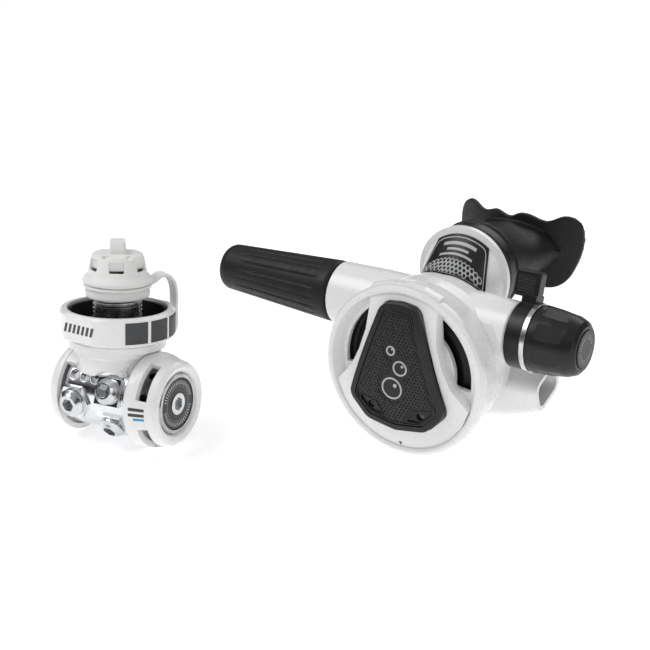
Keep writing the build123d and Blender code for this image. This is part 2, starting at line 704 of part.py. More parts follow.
def demand_lever():
    """Bent lever from the poppet to the middle of the diaphragm, on two feet in the barrel's slot."""
    y, z = lever_pivot
    arm = make_face(Polyline((0, y - 0.6, z + 1.2), (0, y - 3.6, z - 1.6), (0, 14.6, 3.2), (0, 12.2, 1.6),
                             (0, 11.9, -1.6), (0, 13.1, -1.6), (0, 13.3, 1.0), (0, 15.6, 2.4),
                             (0, y - 2.2, z - 2.6), (0, y + 0.9, z + 0.4), close=True))
    lever = extrude(Pos(-3.0, 0, 0) * arm, amount=6.0, dir=(1, 0, 0))
    lever += rod(X_AXIS, -6.8, 6.8, 1.3, (y, z))
    return lever


def swivel_nut():
    """Hose nut: hexagon outside, turning on the inlet thread."""
    nut = Pos(0, barrel_y, barrel_z) * hex_prism(X_AXIS, -66.0, -49.8, 17.5)
    nut -= rod(X_AXIS, -61.3, -49.0, 7.2, (barrel_y, barrel_z))
    return nut - rod(X_AXIS, -67.0, -60.0, 4.4, (barrel_y, barrel_z))


def hose_ferrule():
    """Crimped fitting behind the nut, where the hose would be held."""
    centre = (barrel_y, barrel_z)
    ferrule = rod(X_AXIS, -90.0, -66.05, 7.4, centre) + rod(X_AXIS, -66.05, -61.6, 4.3, centre)
    for x in (-72.0, -78.0, -84.0):
        ferrule -= tube(X_AXIS, x - 1.0, x + 1.0, 8.0, 7.0, centre)
    ferrule -= rod(X_AXIS, -91.0, -70.0, 6.0, centre)
    return ferrule - rod(X_AXIS, -71.0, -61.0, 2.2, centre)


def hose_protector():
    """Rubber sleeve over the hose end, grooved lengthwise and thicker towards the case."""
    outline = [(sleeve_left_x, 6.2), (sleeve_left_x, 8.6), (-119.6, 10.2), (-117.6, 11.2), (-96.0, 12.5),
               (-70.0, 14.2), (-56.0, 15.0), (-54.6, 14.8), (-54.0, 14.0), (-54.0, 10.5), (-66.6, 10.5),
               (-66.6, 7.8), (-91.0, 7.8), (-91.0, 6.2)]
    sleeve = lathe(X_AXIS, outline)
    for step in range(18):
        cut = Pos(-88.0, 0, 14.05) * (about(Y_AXIS, -3.4) * Box(38.0, 0.9, 1.4))
        sleeve -= about(X_AXIS, step * 20.0) * cut
    return Pos(0, barrel_y, barrel_z) * sleeve


def neck_badge(shell):
    """Dark panel let onto the top of the neck of the case, pointed towards the cover."""
    outline = [(0, 32.5), (19.0, 39.0), (13.5, 52.6), (-13.5, 52.6), (-19.0, 39.0)]
    prism = extrude(make_face(Polyline(*[(x, y, 26.0) for x, y in outline], close=True)), amount=44.0,
                    dir=(0, 0, 1))
    skin = ((neck_loft(0.7) + case_drum(0.7)) & prism) - shell
    skin -= neck_loft(-1.0) + case_drum(-1.0)
    skin -= rod(Y_AXIS, neck_y - 2.65, neck_y + 1.0, neck_r + 2.0, (0, neck_z))
    return largest(skin)


def mouthpiece_section(y, half_wide, half_high):
    plane = Plane(origin=(0, y, neck_z), x_dir=(1, 0, 0), z_dir=(0, 1, 0))
    return plane * Ellipse(half_wide, half_high)


def flange_outline():
    half = [(0, 16.0), (9.5, 17.2), (17.5, 15.2), (25.0, 18.2), (31.4, 15.6), (flange_half_width, 8.6),
            (33.6, 0.0), (31.0, -9.0), (26.0, -17.0), (19.0, -19.4), (10.0, -16.2), (0, -13.6)]
    points = mirrored(half)
    curve = Spline(*[(x, 0, neck_z + z) for x, z in points], periodic=True)
    return along_y(make_face(curve), 90.0, 130.0)


def mouthpiece():
    """Soft mouthpiece: sleeve on the spigot, oval tube, curved flange and two bite tabs."""
    body = rod(Y_AXIS, neck_y + 0.1, 68.0, mouthpiece_r, (0, neck_z))
    for y in (neck_y + 0.6, 65.4):
        body += rod(Y_AXIS, y, y + 2.6, mouthpiece_r + 1.1, (0, neck_z))
    body += loft([mouthpiece_section(67.9, mouthpiece_r, mouthpiece_r),
                  mouthpiece_section(82.0, 21.6, 16.0), mouthpiece_section(104.0, 24.0, 13.4)])
    bend = 62.0
    plate = tube(Z_AXIS, 0.0, 70.0, bend + 1.3, bend - 1.3, (0, flange_centre_y + bend))
    plate &= block((-60.0, 80.0, 0.0), (60.0, flange_centre_y + 30.0, 70.0))
    body += plate & flange_outline()
    for side in (-1, 1):
        x = side * 19.5
        body += block((x - 5.5, 104.0, neck_z - 1.6), (x + 5.5, 121.0, neck_z + 1.6))
        body += block((x - 5.5, 118.6, neck_z - 4.6), (x + 5.5, 121.0, neck_z + 4.6))
    body -= rod(Y_AXIS, neck_y, 67.7, 19.05, (0, neck_z))
    body -= loft([mouthpiece_section(67.6, 18.6, 18.6), mouthpiece_section(82.0, 18.6, 12.8),
                  mouthpiece_section(112.0, 14.6, 7.8)])
    body -= tube(Y_AXIS, 59.4, 64.6, mouthpiece_r + 2.0, mouthpiece_r - 0.9, (0, neck_z))
    return body


def mouthpiece_clamp():
    """Ratchet strap round the mouthpiece's sleeve, with its locking head below."""
    strap_ring = tube(Y_AXIS, 59.5, 64.5, mouthpiece_r + 0.5, mouthpiece_r - 0.88, (0, neck_z))
    head = block((-3.4, 59.0, neck_z - mouthpiece_r - 4.2), (3.4, 65.0, neck_z - mouthpiece_r + 0.2))
    head -= rod(Y_AXIS, 50.0, 70.0, mouthpiece_r - 0.86, (0, neck_z))
    head -= rod(Y_AXIS, 50.0, 59.45, mouthpiece_r + 0.05, (0, neck_z))
    head -= rod(Y_AXIS, 64.55, 70.0, mouthpiece_r + 0.05, (0, neck_z))
    return strap_ring + head


# ======================================================================================
# Build, stand on the floor and write
# ======================================================================================
first_stage_parts = {
    "first_stage_body": first_stage_body(),
    "body_shroud": body_shroud(),
    "left_end_cap": left_cap(),
    "balance_plug": balance_plug(),
    "right_end_cap": right_cap(),
    "spring_retainer": spring_retainer(),
    "label_disc": label_disc(),
    "pressure_screw": pressure_screw(),
    "main_spring": main_spring(),
    "spring_pad": spring_pad(),
    "main_diaphragm": main_diaphragm(),
    "push_pin": push_pin(),
    "valve_crown": valve_crown(),
    "first_stage_poppet": first_stage_poppet(),
    "poppet_return_spring": poppet_return_spring(),
    "low_pressure_plugs": fused(port_plug(x, angle, False) for x, angle in low_plug_places),
    "high_pressure_plugs": fused(port_plug(x, angle, True) for x, angle in high_plug_places),
    "port_orings": fused([port_oring(x, angle, False) for x, angle in low_plug_places]
                         + [port_oring(x, angle, True) for x, angle in high_plug_places]),
    "din_stem": din_stem(),
    "inlet_filter": inlet_filter(),
    "din_retainer": din_retainer(),
    "din_oring": din_oring(),
    "handwheel": handwheel(),
    "handwheel_hub": handwheel_hub(),
    "handwheel_grips": handwheel_grips(),
    "dust_cap": dust_cap(),
    "cap_strap": strap(),
}

second_stage_case = case()
second_stage_parts = {
    "case": second_stage_case,
    "cover_ring": cover_ring(),
    "front_panel": front_panel(),
    "purge_button": purge_button(),
    "purge_pad": purge_pad(),
    "purge_spring": purge_spring(),
    "diaphragm": diaphragm(),
    "diaphragm_ring": diaphragm_ring(),
    "diaphragm_disc": diaphragm_disc(),
    "demand_lever": demand_lever(),
    "valve_barrel": valve_barrel(),
    "inlet_fitting": inlet_fitting(),
    "inlet_orifice": inlet_orifice(),
    "poppet": poppet(),
    "poppet_seat": poppet_seat(),
    "poppet_spring": poppet_spring(),
    "adjusting_screw": adjusting_screw(),
    "knob": knob(),
    "knob_trim_ring": knob_trim_ring(),
    "knob_end_disc": knob_end_disc(),
    "lever_collar": lever_collar(),
    "venturi_vane": venturi_vane(),
    "swivel_nut": swivel_nut(),
    "hose_ferrule": hose_ferrule(),
    "hose_protector": hose_protector(),
    "neck_badge": neck_badge(second_stage_case),
    "mouthpiece": mouthpiece(),
    "mouthpiece_clamp": mouthpiece_clamp(),
    "exhaust_valve": exhaust_valve(),
    "exhaust_tee": exhaust_tee(),
}

parts = {name: FIRST * shape for name, shape in first_stage_parts.items()}
parts.update(second_stage_parts)
boxes = [shape.bounding_box() for shape in parts.values()]
middle_x = (min(box.min.X for box in boxes) + max(box.max.X for box in boxes)) / 2
middle_y = (min(box.min.Y for box in boxes) + max(box.max.Y for box in boxes)) / 2
lowest_z = min(box.min.Z for box in boxes)
to_row = Location((-middle_x, -middle_y, -lowest_z))

os.makedirs("parts", exist_ok=True)
for name, shape in parts.items():
    export_step(to_row * shape, f"parts/{name}.step")
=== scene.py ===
import json
from math import cos, exp, hypot, pi, radians, sin, sqrt, tau

import bmesh
import bpy
from mathutils import Matrix, Vector
from mathutils.bvhtree import BVHTree


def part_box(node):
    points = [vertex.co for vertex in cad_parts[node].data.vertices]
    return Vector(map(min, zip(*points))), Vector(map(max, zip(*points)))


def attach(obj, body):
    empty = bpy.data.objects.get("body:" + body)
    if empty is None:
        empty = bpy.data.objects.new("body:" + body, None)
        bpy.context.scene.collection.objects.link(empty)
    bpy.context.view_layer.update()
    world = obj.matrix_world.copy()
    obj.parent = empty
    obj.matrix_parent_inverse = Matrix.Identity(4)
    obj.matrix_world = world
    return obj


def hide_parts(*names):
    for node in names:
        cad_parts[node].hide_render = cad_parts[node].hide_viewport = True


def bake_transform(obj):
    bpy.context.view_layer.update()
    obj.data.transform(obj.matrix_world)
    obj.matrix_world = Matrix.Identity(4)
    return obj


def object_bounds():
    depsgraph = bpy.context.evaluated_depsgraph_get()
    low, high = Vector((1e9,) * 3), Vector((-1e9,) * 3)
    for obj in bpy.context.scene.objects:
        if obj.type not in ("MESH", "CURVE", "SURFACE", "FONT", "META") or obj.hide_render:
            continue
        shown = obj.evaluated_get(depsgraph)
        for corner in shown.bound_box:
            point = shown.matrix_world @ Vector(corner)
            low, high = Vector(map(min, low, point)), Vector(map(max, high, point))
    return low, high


# Scuba regulator set: a DIN first stage on the left and a round second stage on the right.
# Lengths are in millimetres in a stage's own frame unless a name ends in _m or _M.
# First stage: x along its barrel to the label, z up the connector. Second stage: x to the knob, y back.
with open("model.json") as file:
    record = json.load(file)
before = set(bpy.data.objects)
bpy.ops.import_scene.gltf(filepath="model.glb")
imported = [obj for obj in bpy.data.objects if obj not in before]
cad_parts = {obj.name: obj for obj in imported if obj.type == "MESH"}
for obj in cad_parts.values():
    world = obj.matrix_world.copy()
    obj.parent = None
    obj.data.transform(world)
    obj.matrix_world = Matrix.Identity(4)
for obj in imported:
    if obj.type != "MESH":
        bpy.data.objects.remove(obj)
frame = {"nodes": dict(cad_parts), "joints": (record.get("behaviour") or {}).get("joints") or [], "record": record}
cad_low, cad_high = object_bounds()

MM = 0.001
MERGE_DISTANCE = 0.004      # points of a piece that lie closer than this become one
JOINTS = {joint["name"]: joint for joint in frame["joints"]}
HANDWHEEL_UP = 35.0         # where the handwheel's joint lies on the connector's axis
RIM_BEHIND_FRONT = 2.8      # from the cover ring's foremost point back to the second stage's origin
BARREL_BACK, BARREL_UP = 29.0, 18.0


# --- where the two stages stand -------------------------------------------------------------------
def first_stage_frame():
    """The handwheel's axis is z and the pressure screw's is x; they meet at the origin."""
    up = Vector(JOINTS["handwheel_turn"]["axis"])
    along = Vector(JOINTS["pressure_screw_turn"]["axis"])
    across = up.cross(along)
    place = Matrix((along, across, up)).transposed().to_4x4()
    place.translation = Vector(JOINTS["handwheel_turn"]["pos_m"]) - up * HANDWHEEL_UP * MM
    return place


def second_stage_frame():
    """The origin is the middle of the cover's rim; the axes are the world's."""
    low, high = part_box("cover_ring")
    return Matrix.Translation(((low.x + high.x) / 2, low.y + RIM_BEHIND_FRONT * MM, (low.z + high.z) / 2))


FIRST = first_stage_frame()
SECOND = second_stage_frame()
BARREL = SECOND @ Matrix.Translation((0.0, BARREL_BACK * MM, BARREL_UP * MM))   # knob, lever, hose end


# --- materials ------------------------------------------------------------------------------------
MIX_A, MIX_B, MIX_COLOUR = 6, 7, 2      # the colour sockets of a Mix node
BEVEL_SAMPLES = 8
BLOTCH_MM, SPECKLE_MM = 14.0, 0.9
SPECKLE_SHARE = 0.35
TOOL_MARK_MM, SMUDGE_MM = 0.25, 6.0


class Finish:
    """One procedural material, built a step at a time from noise in the part's own coordinates."""

    def __init__(self, name, **constants):
        self.material = bpy.data.materials.new(name)
        self.material.use_nodes = True
        self.tree = self.material.node_tree
        self.tree.nodes.clear()
        self.shader = self.add("ShaderNodeBsdfPrincipled")
        out = self.add("ShaderNodeOutputMaterial")
        self.link(self.shader.outputs["BSDF"], out.inputs["Surface"])
        self.where = self.add("ShaderNodeTexCoord").outputs["Object"]
        for socket, value in constants.items():
            self.shader.inputs[socket.replace("_", " ")].default_value = value

    def add(self, kind, **settings):
        node = self.tree.nodes.new(kind)
        for key, value in settings.items():
            setattr(node, key, value)
        return node

    def link(self, source, target):
        self.tree.links.new(source, target)

    def mapped(self, stretch):
        """The part's own coordinates, stretched along each axis."""
        node = self.add("ShaderNodeMapping")
        node.inputs["Scale"].default_value = stretch
        self.link(self.where, node.inputs["Vector"])
        return node.outputs["Vector"]

    def noise(self, size_mm, detail=3.0, stretch=None):
        """Noise whose blotches are about size_mm across."""
        node = self.add("ShaderNodeTexNoise")
        node.inputs["Scale"].default_value = 1.0 / (size_mm * MM)
        node.inputs["Detail"].default_value = detail
        self.link(self.mapped(stretch) if stretch else self.where, node.inputs["Vector"])
        return node.outputs["Fac"]

    def spread(self, source, low, high, start=0.3, end=0.7):
        """Maps a texture from start..end to low..high."""
        node = self.add("ShaderNodeMapRange")
        self.link(source, node.inputs["Value"])
        node.inputs["From Min"].default_value = start
        node.inputs["From Max"].default_value = end
        node.inputs["To Min"].default_value = low
        node.inputs["To Max"].default_value = high
        return node.outputs["Result"]

    def mix(self, share, first, second):
        """Blends two colours, each a triple or another node's output."""
        node = self.add("ShaderNodeMix", data_type="RGBA")
        self.link(share, node.inputs["Factor"])
        for socket, value in ((node.inputs[MIX_A], first), (node.inputs[MIX_B], second)):
            if hasattr(value, "links"):
                self.link(value, socket)
            else:
                socket.default_value = (*value, 1.0)
        return node.outputs[MIX_COLOUR]

    def rounded(self, radius_mm):
        """A normal that makes sharp edges look rounded."""
        node = self.add("ShaderNodeBevel")
        node.samples = BEVEL_SAMPLES
        node.inputs["Radius"].default_value = radius_mm * MM
        return node.outputs["Normal"]

    def edges(self, normal, low=0.01, high=0.12):
        """1 on rounded edges, 0 on flats: how far the rounded normal leans from the true one."""
        true = self.add("ShaderNodeNewGeometry").outputs["Normal"]
        dot = self.add("ShaderNodeVectorMath", operation="DOT_PRODUCT")
        self.link(normal, dot.inputs[0])
        self.link(true, dot.inputs[1])
        return self.spread(dot.outputs["Value"], 0.0, 1.0, 1.0 - low, 1.0 - high)

    def bump(self, height, strength, depth_mm, normal=None):
        node = self.add("ShaderNodeBump")
        node.inputs["Strength"].default_value = strength
        node.inputs["Distance"].default_value = depth_mm * MM
        self.link(height, node.inputs["Height"])
        if normal:
            self.link(normal, node.inputs["Normal"])
        return node.outputs["Normal"]

    def done(self, colour, roughness, normal):
        self.link(colour, self.shader.inputs["Base Color"])
        self.link(roughness, self.shader.inputs["Roughness"])
        self.link(normal, self.shader.inputs["Normal"])
        return self.material


def moulded(name, light, dark, gloss, grain_mm, depth_mm, round_mm=0.35, painted_edge_highlight=None, **constants):
    """Moulded plastic or rubber: faint blotches, a fine skin texture, softened edges; the edge colour, when given,
    is a painted highlight, a paler colour on the rounded edges.
    """
    finish = Finish(name, **constants)
    blotches = finish.spread(finish.noise(BLOTCH_MM), 0.0, 1.0)
    speckle = finish.spread(finish.noise(SPECKLE_MM, 2.0), 0.0, 1.0)
    both = finish.add("ShaderNodeMath", operation="MULTIPLY_ADD")
    finish.link(speckle, both.inputs[0])
    both.inputs[1].default_value = SPECKLE_SHARE
    finish.link(blotches, both.inputs[2])
    share = finish.spread(both.outputs["Value"], 0.0, 1.0, 0.0, 1.0 + SPECKLE_SHARE)
    colour = finish.mix(share, dark, light)
    rounded = finish.rounded(round_mm)
    # Painted highlight: the edge colour is mixed in on rounded edges, so the edges look lit.
    if painted_edge_highlight:
        colour = finish.mix(finish.edges(rounded), colour, painted_edge_highlight)
    rough = finish.spread(finish.noise(2.5, 4.0), *gloss)
    return finish.done(colour, rough, finish.bump(finish.noise(grain_mm, 2.0), 0.6, depth_mm, rounded))


def turned_metal(name, light, dark, gloss, stretch, depth_mm, round_mm=0.25, **constants):
    """Turned or drawn metal: fine tool marks and smudges in the gloss; round_mm 0 keeps edges as they are."""
    finish = Finish(name, Metallic=1.0, **constants)
    marks = finish.noise(TOOL_MARK_MM, 2.0, stretch)
    smudge = finish.spread(finish.noise(SMUDGE_MM, 4.0), 0.0, 1.0)
    colour = finish.mix(smudge, dark, light)
    rounded = finish.rounded(round_mm) if round_mm else None
    rough = finish.spread(finish.noise(3.0, 4.0), *gloss)
    return finish.done(colour, rough, finish.bump(marks, 0.5, depth_mm, rounded))


FINISHES = {
    "white_shell": moulded("white_shell_mat", (0.88, 0.88, 0.875), (0.862, 0.862, 0.857), (0.26, 0.32), 0.35,
                           0.0006, 0.3, Coat_Weight=0.25, Coat_Roughness=0.12),
    "white_rubber": moulded("white_rubber_mat", (0.86, 0.86, 0.85), (0.83, 0.83, 0.82), (0.5, 0.62), 0.3,
                            0.0015, 0.5, Sheen_Weight=0.15),
    # The edge colours of the dark finishes below are painted highlights on their rounded edges.
    "black_rubber": moulded("black_rubber_mat", (0.014, 0.014, 0.015), (0.008, 0.008, 0.009), (0.42, 0.56),
                            0.16, 0.008, 0.35, painted_edge_highlight=(0.03, 0.03, 0.032), Specular_IOR_Level=0.3),
    "black_plastic": moulded("black_plastic_mat", (0.015, 0.015, 0.016), (0.009, 0.009, 0.01), (0.3, 0.4),
                             0.14, 0.005, 0.3, painted_edge_highlight=(0.04, 0.04, 0.042), Specular_IOR_Level=0.32),
    "dark_label": moulded("dark_label_mat", (0.024, 0.024, 0.026), (0.016, 0.016, 0.018), (0.34, 0.44), 0.12,
                          0.004, 0.2, painted_edge_highlight=(0.06, 0.06, 0.063)),
    "grip_grey": moulded("grip_grey_mat", (0.06, 0.062, 0.066), (0.045, 0.047, 0.05), (0.5, 0.62), 0.2,
                         0.008, 0.3, painted_edge_highlight=(0.1, 0.1, 0.105)),
    "silicone": moulded("silicone_mat", (0.55, 0.57, 0.58), (0.46, 0.48, 0.49), (0.35, 0.45), 0.3, 0.01, 0.3,
                        Subsurface_Weight=0.2, Subsurface_Radius=(0.002, 0.002, 0.002)),
    "print_pale": moulded("print_pale_mat", (0.52, 0.53, 0.54), (0.44, 0.45, 0.46), (0.4, 0.5), 0.1, 0.004,
                          0.05),
    "print_dark": moulded("print_dark_mat", (0.06, 0.062, 0.066), (0.04, 0.042, 0.046), (0.38, 0.5), 0.1,
                          0.004, 0.05),
    "print_blue": moulded("print_blue_mat", (0.06, 0.33, 0.62), (0.04, 0.27, 0.52), (0.38, 0.5), 0.1, 0.004,
                          0.05),
    "chrome": turned_metal("chrome_mat", (0.76, 0.77, 0.79), (0.66, 0.67, 0.69), (0.1, 0.18), (1, 1, 1),
                           0.001, 0.45),
    "dark_chrome": turned_metal("dark_chrome_mat", (0.5, 0.5, 0.51), (0.32, 0.32, 0.33), (0.16, 0.3),
                                (1, 1, 1), 0.003, 0.15),
    "thread_metal": turned_metal("thread_metal_mat", (0.62, 0.61, 0.6), (0.48, 0.47, 0.46), (0.2, 0.3),
                                 (1, 1, 1), 0.0004, 0.0),
    "steel": turned_metal("steel_mat", (0.66, 0.67, 0.68), (0.52, 0.53, 0.54), (0.16, 0.28), (1, 1, 0.2),
                          0.003, 0.3),
    "spring_steel": turned_metal("spring_steel_mat", (0.48, 0.49, 0.51), (0.36, 0.37, 0.39), (0.25, 0.4),
                                 (0.2, 1, 1), 0.003, 0.1),
    "brass": turned_metal("brass_mat", (0.78, 0.6, 0.3), (0.62, 0.46, 0.2), (0.2, 0.32), (0.2, 1, 1), 0.003),
    "filter_bronze": turned_metal("filter_bronze_mat", (0.5, 0.38, 0.22), (0.32, 0.24, 0.14), (0.45, 0.7),
                                  (1, 1, 1), 0.05),
}


# --- making pieces --------------------------------------------------------------------------------
def add_piece(name, points, faces, place, finish, body, sharp=35.0):
    """A mesh from points in millimetres of a stage's frame, riding on a CAD body."""
    mesh = bpy.data.meshes.new(name)
    mesh.from_pydata([place @ (Vector(point) * MM) for point in points], [], faces)
    return dressed(mesh, name, finish, body, sharp)


def dressed(mesh, name, finish, body, sharp=35.0):
    """Merges, turns the faces outwards, shades, paints and fixes a mesh to its body."""
    work = bmesh.new()
    work.from_mesh(mesh)
    bmesh.ops.remove_doubles(work, verts=work.verts, dist=MERGE_DISTANCE * MM)
    bmesh.ops.recalc_face_normals(work, faces=work.faces)
    work.to_mesh(mesh)
    work.free()
    mesh.shade_smooth()
    mesh.set_sharp_from_angle(angle=radians(sharp))
    mesh.materials.clear()
    mesh.materials.append(FINISHES[finish])
    piece = bpy.data.objects.new(name, mesh)
    bpy.context.scene.collection.objects.link(piece)
    if body:
        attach(piece, body)
    return piece


def softened(node, name, finish, body, voxel_mm, rounds):
    """A soft copy of a CAD solid: remeshed evenly, then relaxed so that every edge is rounded."""
    source = bpy.data.objects.new(name + "_work", frame["nodes"][node].data.copy())
    bpy.context.scene.collection.objects.link(source)
    remesh = source.modifiers.new("even", "REMESH")
    remesh.mode = "VOXEL"
    remesh.voxel_size = voxel_mm * MM
    relax = source.modifiers.new("relax", "SMOOTH")
    relax.factor = 0.5
    relax.iterations = rounds
    graph = bpy.context.evaluated_depsgraph_get()
    mesh = bpy.data.meshes.new_from_object(source.evaluated_get(graph))
    bpy.data.objects.remove(source)
    mesh.name = name
    piece = dressed(mesh, name, finish, body, 80.0)
    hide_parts(node)
    return piece


def squeezed(node):
    """A still copy of a CAD spring with its node's finish, shown in place of the CAD part.
    """
    look = NODE_FINISH[node]
    piece = dressed(frame["nodes"][node].data.copy(), node + "_coil", look, None)
    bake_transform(piece)
    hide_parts(node)


def loops_to_faces(rings, count, closed):
    """Quads between neighbouring rings of count points each."""
    faces = []
    last = rings if closed else rings - 1
    for ring in range(last):
        for step in range(count):
            a, b = ring * count, ((ring + 1) % rings) * count
            after = (step + 1) % count
            faces.append((a + step, a + after, b + after, b + step))
    return faces


def turned(outline, steps, shape=None):
    """Turns a closed outline of (along, radius, weight) about x; shape(along, angle) * weight is added."""
    points = []
    for step in range(steps):
        angle = tau * step / steps
        for along, radius, weight in outline:
            grown = radius + (shape(along, angle) * weight if shape and weight else 0.0)
            points.append((along, grown * cos(angle), grown * sin(angle)))
    return points, loops_to_faces(steps, len(outline), True)


def upright(points):
    """Turns points made about x so that they stand about z."""
    return [(-z, y, x) for x, y, z in points]


BAND_TOP = 0.8          # the flat top of a raised line, as a share of its foot
SHARPEST_MITRE = 0.4    # keeps a line's corners from running out into spikes


def band(surface, outline, width, rise, sink=0.15):
    """A raised line of a given width that follows a closed outline drawn on a surface."""
    count = len(outline)
    points = []
    for index in range(count):
        before, here, after = outline[index - 1], outline[index], outline[(index + 1) % count]
        one = (here[0] - before[0], here[1] - before[1])
        two = (after[0] - here[0], after[1] - here[1])
        long_one, long_two = hypot(*one) or 1.0, hypot(*two) or 1.0
        normal = (one[1] / long_one + two[1] / long_two, -one[0] / long_one - two[0] / long_two)
        size = max(hypot(*normal), SHARPEST_MITRE)
        offset = (normal[0] / size * width / size, normal[1] / size * width / size)
        for share, lift in ((-1, -sink), (-BAND_TOP, rise), (BAND_TOP, rise), (1, -sink)):
            place, up = surface(here[0] + offset[0] * share, here[1] + offset[1] * share)
            points.append(place + up * lift)
    return points, loops_to_faces(count, 4, True)


def patch(surface, outline, rise, sink=0.1):
    """A thin raised tile with the given outline on a surface."""
    top, base = [], []
    for u, v in outline:
        place, up = surface(u, v)
        top.append(place + up * rise)
        base.append(place - up * sink)
    count = len(outline)
    faces = [tuple(range(count))]
    faces += [(step, (step + 1) % count, count + (step + 1) % count, count + step) for step in range(count)]
    faces.append(tuple(reversed(range(count, 2 * count))))
    return top + base, faces


def strip(surface, left, right, low, high, rise, columns=6, rows=4, sink=0.1):
    """A thin raised rectangle cut into small tiles, so that it follows a curved surface."""
    points = []
    for lift in (rise, -sink):
        for row in range(rows + 1):
            for column in range(columns + 1):
                place, up = surface(left + (right - left) * column / columns, low + (high - low) * row / rows)
                points.append(place + up * lift)
    wide, sheet = columns + 1, (columns + 1) * (rows + 1)
    faces = []
    for row in range(rows):
        for column in range(columns):
            corner = row * wide + column
            tile = (corner, corner + 1, corner + wide + 1, corner + wide)
            faces += [tile, tuple(sheet + index for index in reversed(tile))]
    rim = ([column for column in range(columns)] + [row * wide + columns for row in range(rows)]
           + [rows * wide + columns - column for column in range(columns)]
           + [(rows - row) * wide for row in range(rows)])
    for index, here in enumerate(rim):
        after = rim[(index + 1) % len(rim)]
        faces.append((here, after, sheet + after, sheet + here))
    return points, faces


def joined(parts):
    """Several (points, faces) as one."""
    points, faces = [], []
    for more_points, more_faces in parts:
        shift = len(points)
        points += more_points
        faces += [tuple(index + shift for index in face) for face in more_faces]
    return points, faces


def inside(u, v, outline):
    """How far a point lies inside a closed outline, below 0 when it is outside."""
    nearest, crossings = 1e9, 0
    for (ua, va), (ub, vb) in zip(outline, outline[1:] + outline[:1]):
        du, dv = ub - ua, vb - va
        share = max(0.0, min(1.0, ((u - ua) * du + (v - va) * dv) / (du * du + dv * dv)))
        nearest = min(nearest, hypot(u - ua - share * du, v - va - share * dv))
        if (va > v) != (vb > v) and u < ua + (v - va) / (vb - va) * du:
            crossings += 1
    return nearest if crossings % 2 else -nearest


def honeycomb(surface, keep, box, pitch, hole, rise, sink):
    """A raised mesh of hexagonal cells with sunk holes, wherever keep(u, v) is true."""
    parts = []
    left, low, right, high = box
    corner = pitch / sqrt(3.0)
    row_step = corner * 1.5
    rows = int((high - low) / row_step) + 1
    for row in range(rows):
        v = low + row * row_step
        u = left + (pitch / 2 if row % 2 else 0.0)
        while u <= right:
            if keep(u, v):
                parts.append(cell(surface, u, v, corner, hole, rise, sink))
            u += pitch
    return joined(parts)


def cell(surface, u, v, corner, hole, rise, sink):
    """One hexagonal cell: a flat rim, sloping walls and a floor."""
    points = []
    for radius, lift in ((corner, -sink), (corner, rise), (hole, rise), (hole * 0.8, -sink)):
        for step in range(6):
            angle = radians(60.0 * step + 30.0)
            place, up = surface(u + radius * cos(angle), v + radius * sin(angle))
            points.append(place + up * lift)
    return points, loops_to_faces(4, 6, False)


def ring_of_ticks(centre, inner, outer, count, thick, skip=()):
    """Outlines of short radial bars round a centre."""
    bars = []
    for step in range(count):
        if step in skip:
            continue
        angle = tau * step / count
        along, across = (cos(angle), sin(angle)), (-sin(angle), cos(angle))
        bars.append([(centre[0] + along[0] * radius + across[0] * side * thick / 2,
                      centre[1] + along[1] * radius + across[1] * side * thick / 2)
                     for radius, side in ((inner, -1), (outer, -1), (outer, 1), (inner, 1))])
    return bars


def circle(centre, radius, steps=40):
    """A closed outline of points on a circle."""
    return [(centre[0] + radius * cos(tau * step / steps), centre[1] + radius * sin(tau * step / steps))
            for step in range(steps)]


def dense(outline, step):
    """A closed outline with extra points, so that a line drawn along it follows a curved surface."""
    points = []
    for (ua, va), (ub, vb) in zip(outline, outline[1:] + outline[:1]):
        count = max(1, int(hypot(ub - ua, vb - va) / step))
        points += [(ua + (ub - ua) * part / count, va + (vb - va) * part / count) for part in range(count)]
    return points


def rounded_bar(centre, half_u, half_v, corner):
    """A bar with rounded corners."""
    points = []
    for quarter, (su, sv) in enumerate(((1, 1), (-1, 1), (-1, -1), (1, -1))):
        for step in range(4):
            angle = pi / 2 * (quarter + step / 3.0)
            points.append((centre[0] + su * (half_u - corner) + corner * cos(angle),
                           centre[1] + sv * (half_v - corner) + corner * sin(angle)))
    return points


def mirrored(points):
    """A right half, listed from top to bottom, closed by its mirror image."""
    return points + [(-u, v) for u, v in reversed(points) if u > 0.001]


def flat_surface(origin, right, up):
    """A plane through origin; its normal is right x up."""
    origin, right, up = Vector(origin), Vector(right).normalized(), Vector(up).normalized()
    normal = right.cross(up)
    return lambda u, v: (origin + right * u + up * v, normal)


def cast_surface(node, place, ray):
    """The skin of a CAD node: ray(u, v) gives a start, a direction and how far off the skin lies."""
    mesh = frame["nodes"][node].data
    tree = BVHTree.FromPolygons([vertex.co for vertex in mesh.vertices],
                                [tuple(face.vertices) for face in mesh.polygons])
    back = place.inverted()
    turn = place.to_3x3()

    def surface(u, v):
        start, direction, reach = ray(u, v)
        hit, normal, _, _ = tree.ray_cast(place @ (start * MM), turn @ direction)
        if hit is None:
            hit, normal, _, _ = tree.find_nearest(place @ ((start + direction * reach) * MM))
        normal = back.to_3x3() @ normal
        if normal.dot(direction) > 0:
            normal = -normal
        return back @ hit / MM, normal.normalized()
    return surface


# --- first stage ----------------------------------------------------------------------------------
THREAD_PITCH = 1.814
THREAD_DEPTH = 1.02
THREAD_ROOT = 10.4
THREAD_SINK = 0.1                       # how far the ridge's foot lies under the core's skin
THREAD_FOOT, THREAD_CREST = 0.8, 0.2    # half widths of the ridge
THREAD_SPAN = (32.3, 56.9)
THREAD_STEPS, CORE_STEPS = 84, 96       # points in one turn


